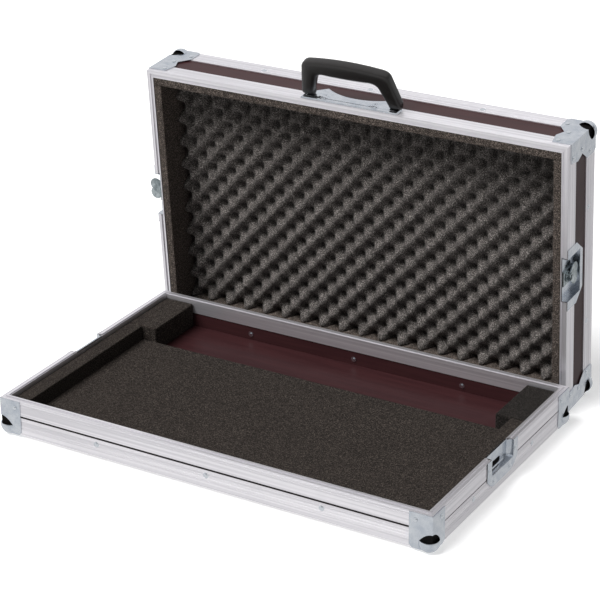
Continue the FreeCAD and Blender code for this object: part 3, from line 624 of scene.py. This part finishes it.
def pressed_plate(hole, outline, wall):
    """A folded plate between its hole and its outline, as flat rings with their thickness turned in."""
    rings = [hole, hole, hole * 0.5 + outline * 0.5, outline, outline]
    depths = [0.9 * sheet_thick, 0.0, 0.0, 0.0, 0.9 * sheet_thick]
    points = np.zeros((5, len(hole), 3))
    for ring, (flat, depth) in enumerate(zip(rings, depths)):
        points[ring, :, wall[0]], points[ring, :, wall[1]], points[ring, :, wall[2]] = flat[:, 0], flat[:, 1], depth
    return points


def turned(profile, centre, axis_out, axis_up, sectors=32):
    """A profile of (radius, height) points turned round an axis."""
    turn = np.linspace(0, 2 * math.pi, sectors, endpoint=False)
    across = np.cross(axis_up, axis_out)
    ring = np.cos(turn)[:, None] * axis_out + np.sin(turn)[:, None] * across
    profile = np.array(profile)
    return centre + profile[:, 0, None, None] * ring + profile[:, 1, None, None] * np.array(axis_up)


rivet_dome = [(0.0037, 0.0), (0.0036, 0.0006), (0.0031, 0.0012), (0.0020, 0.0017), (0.0008, 0.0019), (0.0001, 0.0019)]


def corner_parts(outline, steps, rivets):
    """One corner in its own directions: two wall plates, the plate under the face, cup and rivets."""
    leave = math.acos(-ball_in / (ball_round ** 2 - ball_in ** 2) ** 0.5) - math.pi / 2
    ring = (ball_round ** 2 - ball_in ** 2) ** 0.5
    round_part = np.linspace(-leave, math.radians(20), 11)
    circle = ball_in + ring * np.stack([np.cos(round_part), np.sin(round_part)], -1)
    over = np.linspace(circle[-1, 0], 0, 15)[1:]
    arch = circle[-1, 1] + 0.0133 * (1 - (over / circle[-1, 0]) ** 2)
    hole = np.concatenate([circle, np.stack([over, arch], -1)])
    under = np.linspace(-leave, math.pi / 2 + leave, 25)
    under_hole = ball_in + ring * np.stack([np.cos(under), np.sin(under)], -1)
    under_outline = along_outline(
        [(outline[0][0], 0), (0.035, 0.003), (0.035, 0.022), (0.022, 0.035), (0.003, 0.035), (0, outline[0][0])],
        [3, 6, 6, 6, 3],
    )
    rim = along_outline(outline, steps)
    deep = np.array([0.03, 0.03, 0.03])
    parts = [
        (pressed_plate(hole, rim, (0, 2, 1)), deep, 0.5, False, 0),
        (pressed_plate(hole, rim, (1, 2, 0)), deep, 0.5, False, 0),
        (pressed_plate(under_hole, under_outline, (0, 1, 2)), deep, 0.5, False, 0),
    ]
    centre = np.array([ball_in] * 3)
    bend = np.linspace(0.02, math.pi / 2 + math.asin(cup_lip / ball_round), 16)
    outside = [(ball_round * math.sin(turn), -ball_round * math.cos(turn)) for turn in bend]
    lip = [(0.0147, 0.0043), (0.0141, 0.0041), (0.0138, 0.0034)]
    inner = [(0.0138, 0.0034), (0.0136, 0.0005), (0.0125, -0.0055), (0.0085, -0.0095), (0.0001, -0.0105)]
    across, up = np.array([1.0, 0.0, 0.0]), np.array([0.0, 0.0, 1.0])
    parts.append((turned(outside + lip, centre, across, up), centre, 0.3, True, 0))
    # The cup's inside takes the painted shade.
    parts.append((turned(inner, centre, across, up), centre - 3 * ball_in * up, 0.9, True, 1))
    behind = 0.8 * sheet_thick
    for first, second in ((0, 1), (1, 0)):
        # A sheet behind the plates, in painted shade.
        gap = np.zeros((2, 2, 3))
        gap[..., first] = np.array([[behind, 0.0225], [behind, 0.0225]])
        gap[..., second] = behind
        gap[..., 2] = np.array([[0.006, 0.006], [0.0295, 0.0295]])
        parts.append((gap, deep, 0.0, False, 1))
        for along, height in rivets:
            spot = np.zeros(3)
            spot[first], spot[2] = along, height
            out = np.zeros(3)
            out[second] = -1.0
            parts.append((turned(rivet_dome, spot, up, out, 14), spot - out * 0.01, 0.4, True, 2))
    return parts


def corner_set(name, parts, places, node, body):
    """Puts the corner at each of a tray's corners and makes one piece of them."""
    points, faces, slots, count = [], [], [], 0
    for place in places:
        for grid, inside, probe, wrap, slot in parts:
            flat, quads = grid_part(place(grid), place(inside), probe, wrap)
            points.append(flat)
            faces.append(quads + count)
            slots.append(np.full(len(quads), slot))
            count += len(flat)
    piece = surface(name, np.concatenate(points), np.concatenate(faces), zinc)
    # Slot 1 is the painted shade of the hollows, slot 2 the bright rivets.
    piece.data.materials.append(painted_hollow_shade.material)
    piece.data.materials.append(bright.material)
    piece.data.polygons.foreach_set("material_index", np.concatenate(slots))
    piece.data.set_sharp_from_angle(angle=math.radians(32))
    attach(piece, body)
    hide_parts(node)
    return piece


def base_place(side, end):
    """Maps a corner's own directions to one corner of the base."""
    def place(points):
        shifted = points - sheet_thick
        return np.stack([
            side * (base_wide / 2 - shifted[..., 0]), end * (base_long / 2 - shifted[..., 1]),
            base_up + shifted[..., 2],
        ], -1)
    return place


def lid_place(side, end):
    """Maps a corner's own directions to one corner of the standing lid, flattened at the floor."""
    def place(points):
        shifted = points - sheet_thick
        up = shifted[..., 1] if end < 0 else lid_tall - shifted[..., 1]
        spot = lid_point(np.stack([side * (lid_width / 2 - shifted[..., 0]), up, lid_deep - shifted[..., 2]], -1))
        spot[..., 2] = np.maximum(spot[..., 2], 0.0)
        return spot
    return place


base_outline = [(0.032, 0), (0.037, 0.005), (0.037, 0.0564), (0, 0.0564)]
lid_outline = [
    (0.040, 0), (0.044, 0.005), (0.044, 0.031), (0.0295, 0.0485), (0.036, 0.064), (0.031, 0.088), (0, 0.088),
]
every_corner = [(side, end) for side in (1, -1) for end in (1, -1)]
corner_set(
    "ball_corners_base", corner_parts(base_outline, [3, 12, 9], [(0.027, 0.045)]),
    [base_place(side, end) for side, end in every_corner], "base_ball_corners", "base",
)
corner_set(
    "ball_corners_lid",
    corner_parts(lid_outline, [3, 5, 4, 4, 4, 4], [(0.0370, 0.020), (0.0225, 0.0485), (0.0250, 0.080)]),
    [lid_place(side, end) for side, end in every_corner], "lid_ball_corners", "lid",
)


# Keeper dishes in the base's side walls.
# Sheet steel, pressed in one stroke: a flat flange, and a pan that is open at the rim and scooped
# out towards its rear end, with a slot for the latch's hook, rivets and a lip over the rim. The slot
# is a flat patch on the pan's floor, painted near black as painted shade of the hole.

keeper_half, keeper_shoulder, keeper_tall, keeper_tip = 0.050, 0.030, 0.046, 0.028
pan_half, pan_tall, pan_deep, keeper_along = 0.0355, 0.027, 0.0082, -0.006
base_rim = base_up + 0.0566


def smooth_step(value):
    """0 below 0 and 1 above 1, with a smooth rise between."""
    value = np.clip(value, 0.0, 1.0)
    return value * value * (3 - 2 * value)


def soft_ellipse(centre, half, power, first, second, sectors=32):
    """Two rings, a point and a rounded outline, in the plane of two directions."""
    turn = np.linspace(0, 2 * math.pi, sectors, endpoint=False)
    across = half[0] * np.sign(np.cos(turn)) * np.abs(np.cos(turn)) ** power
    up = half[1] * np.sign(np.sin(turn)) * np.abs(np.sin(turn)) ** power
    ring = across[:, None] * np.array(first) + up[:, None] * np.array(second)
    return np.stack([centre + 0.01 * ring, centre + ring])


def keeper_parts(side):
    """Grids of the dish on one side wall: its face, the slot, the lip and four rivets."""
    along = np.sort(np.concatenate([np.linspace(-keeper_half, keeper_half, 110), [-pan_half, pan_half]]))
    share = np.linspace(0, 1, 60)
    out = np.maximum(np.abs(along) - keeper_tip, 0) / (keeper_half - keeper_tip)
    low = -keeper_tall + (keeper_tall - keeper_shoulder) * out ** 1.6
    along, share = np.meshgrid(along, share, indexing="ij")
    height = share * low[:, None]
    scoop = np.sqrt(np.clip(1 - (np.maximum(along - (pan_half - pan_deep), 0) / pan_deep) ** 2, 0, 1))
    ends = smooth_step((along + pan_half) / 0.0016) * scoop * smooth_step((height + pan_tall) / 0.0016)
    lift = sheet_thick * np.where(np.minimum(share, 1 - share) > 0, 1.0, 0.4)
    depth = pan_deep * ends - lift * (1 - smooth_step(ends * 3))
    face = np.stack([side * (base_wide / 2 - depth), along + keeper_along, base_rim + height], -1)
    inside = np.array([0.0, keeper_along, 0.04])
    y_way, z_way, x_way = np.array([0.0, 1.0, 0.0]), np.array([0.0, 0.0, 1.0]), np.array([side, 0.0, 0.0])
    floor_x = side * (base_wide / 2 - pan_deep + 0.0002)
    # The slot is a flat oval laid on the pan's floor in the near-black finish: painted shade of the hook's hole.
    slot = soft_ellipse(np.array([floor_x, keeper_along - 0.0085, base_rim - 0.0190]), (0.0165, 0.0045), 0.35, y_way, z_way)
    parts = [(face, inside, 0.5, False, 0), (slot, inside, 0.0, True, 1)]
    bar = [(0.0, 0.0), (0.0004, 0.0007), (0.0014, 0.0009), (0.0030, 0.0008), (0.0034, 0.0002), (0.0034, -0.0014)]
    lip = np.zeros((2, len(bar), 3))
    for row, place in enumerate((keeper_along - pan_half, keeper_along + pan_half - 0.0045)):
        lip[row] = [(side * (base_wide / 2 - pan_deep - step), place, base_rim + up) for step, up in bar]
    parts.append((lip, np.array([side * (base_wide / 2 - pan_deep - 0.0015), keeper_along, base_rim - 0.003]), 0.0, False, 0))
    for place, up in ((-0.0425, 0.047), (-0.027, 0.0235), (0.0425, 0.047), (0.026, 0.0235)):
        spot = np.array([side * (base_wide / 2 + 0.9 * sheet_thick), keeper_along + place, up])
        parts.append((turned(rivet_dome, spot, z_way, x_way, 14), spot - 0.01 * x_way, 0.4, True, 2))
    return parts


for side, word in ((1, "right"), (-1, "left")):
    corner_set("keeper_dish_" + word, keeper_parts(side), [lambda points: points], f"base_{word}_keeper_dish", "base")


# Handle plate.
# A pressed plate, scalloped towards the panel, with a raised middle and a rosette near each foot.

plate_half, plate_start, plate_shoulder, plate_reach, plate_waist, plate_lobe = 0.084, 0.003, 0.022, 0.048, 0.028, 0.058


def handle_plate():
    """The plate's height over the lid's wall, on a grid that is drawn out to its scalloped edge."""
    across = np.linspace(-plate_half, plate_half, 169)
    size = np.abs(across)
    lobe = plate_waist + (plate_reach - plate_waist) * np.clip(size / plate_lobe, 0, 1) ** 2.2
    slant = np.clip((size - plate_lobe) / (plate_half - plate_lobe), 0, 1)
    far = lobe - (plate_reach - plate_shoulder) * slant
    across, share = np.meshgrid(across, np.linspace(0, 1, 41), indexing="ij")
    depth = plate_start + share * (far[:, None] - plate_start)
    rim = np.minimum(np.minimum(depth - plate_start, (far[:, None] - depth) * 0.8), (plate_half - np.abs(across)) * 0.9)
    rise = 0.0012 * smooth_step((rim - 0.0045) / 0.0025)
    for centre in (-0.048, 0.040):
        away = np.hypot(across - centre, depth - 0.0150)
        rise = rise + 0.0012 * smooth_step((0.0085 - away) / 0.002) - 0.0014 * smooth_step((0.0050 - away) / 0.002)
    height = lid_tall + np.where(rim > 0, 0.0022, 0.0) + rise
    grid = np.stack([across, height, depth], -1)
    return [(grid, np.array([0.0, lid_tall - 0.05, 0.02]), 0.5, False, 0)]


corner_set("handle_plate", handle_plate(), [lid_point], "handle_base_plate", "lid")


# Carrying handle.
# One moulding in black plastic with a fine leather-like grain. Its rounded section runs round
# the arch from foot to foot, and each foot ends in a half barrel round the hinge.

hinge_v, hinge_w, handle_lean = 0.4606, 0.017, math.radians(18)
grip_half = 0.009


def rounded_run(corners, steps, soften):
    """A broken line sampled evenly on each run, with its corners rounded by a moving mean."""
    line = along_outline(np.array(corners), steps)
    ahead = line[0] - np.arange(soften, 0, -1)[:, None] * (line[1] - line[0])
    after = line[-1] + np.arange(1, soften + 1)[:, None] * (line[-1] - line[-2])
    line = np.concatenate([ahead, line, after])
    window = np.ones(2 * soften + 1) / (2 * soften + 1)
    return np.stack([np.convolve(line[:, axis], window, "valid") for axis in (0, 1)], -1)


def bail():
    """The handle's rings: a rounded section between the outer and the inner line of the arch."""
    crown = [(x, 0.0574 + 0.006 * (1 - (x / 0.0745) ** 2)) for x in np.linspace(-0.0745, 0.0745, 13)]
    belly = [(x, 0.0379 - 0.0025 * (1 - (x / 0.051) ** 2)) for x in np.linspace(-0.051, 0.051, 13)]
    steps = [22] + [4] * 12 + [22]
    outer = rounded_run([(-0.086, 0.0), *crown, (0.086, 0.0)], steps, 3)
    inner = rounded_run([(-0.0655, 0.0), *belly, (0.0655, 0.0)], steps, 6)
    middle, reach = (outer + inner) / 2, (outer - inner) / 2
    thick = np.full(len(outer), grip_half)
    fold = np.radians([80, 70, 58, 45, 30, 15])
    for end in (0, -1):
        foot = np.stack([np.full(6, middle[end, 0]), -grip_half * np.sin(fold)], -1)
        sideways = np.repeat(reach[end : end + 1 or None], 6, axis=0) * (1 - 0.12 * np.sin(fold)[:, None] ** 6)
        ring_thick = grip_half * np.cos(fold)
        if end == 0:
            middle, reach = np.concatenate([foot, middle]), np.concatenate([sideways, reach])
            thick = np.concatenate([ring_thick, thick])
        else:
            middle, reach = np.concatenate([middle, foot[::-1]]), np.concatenate([reach, sideways[::-1]])
            thick = np.concatenate([thick, ring_thick[::-1]])
    turn = np.linspace(0, 2 * math.pi, 36, endpoint=False)
    wide = np.sign(np.cos(turn)) * np.abs(np.cos(turn)) ** 0.5
    deep = np.sign(np.sin(turn)) * np.abs(np.sin(turn)) ** 0.5
    flat = middle[:, None] + reach[:, None] * wide[:, None]
    away = thick[:, None] * deep
    up = hinge_v + flat[..., 1] * math.cos(handle_lean) + away * math.sin(handle_lean)
    inward = hinge_w - flat[..., 1] * math.sin(handle_lean) + away * math.cos(handle_lean)
    return lid_point(np.stack([flat[..., 0], up, inward], -1))


grip = Finish("black_moulded_plastic", Specular_IOR_Level=0.5, Coat_Weight=0.10, Coat_Roughness=0.2)
grip_grain = grip.cells(grip.place(), 1100.0)
grip_cloud = grip.noise(grip.place(), 60.0, 3.0, 0.6)
grip.wear("Base Color", grip.blend(grip_cloud, (0.0060, 0.0048, 0.0044), (0.0115, 0.0098, 0.0092)))
grip.wear("Roughness", 0.28 + grip_cloud * 0.14)
grip.wear("Normal", grip.bump(grip_grain, 0.35, 0.00025))
rings = bail()
ring_points, ring_faces = grid_part(rings, rings[len(rings) // 2].mean(0), 0.5, True)
loop = rings.shape[1] + 1
ends = [list(range(loop - 1)), list(range(len(ring_points) - 2, len(ring_points) - loop - 1, -1))]
handle = surface("carry_handle_moulding", ring_points, ring_faces, grip, weld=True, caps=ends)
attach(handle, "handle")
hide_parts("carry_handle")
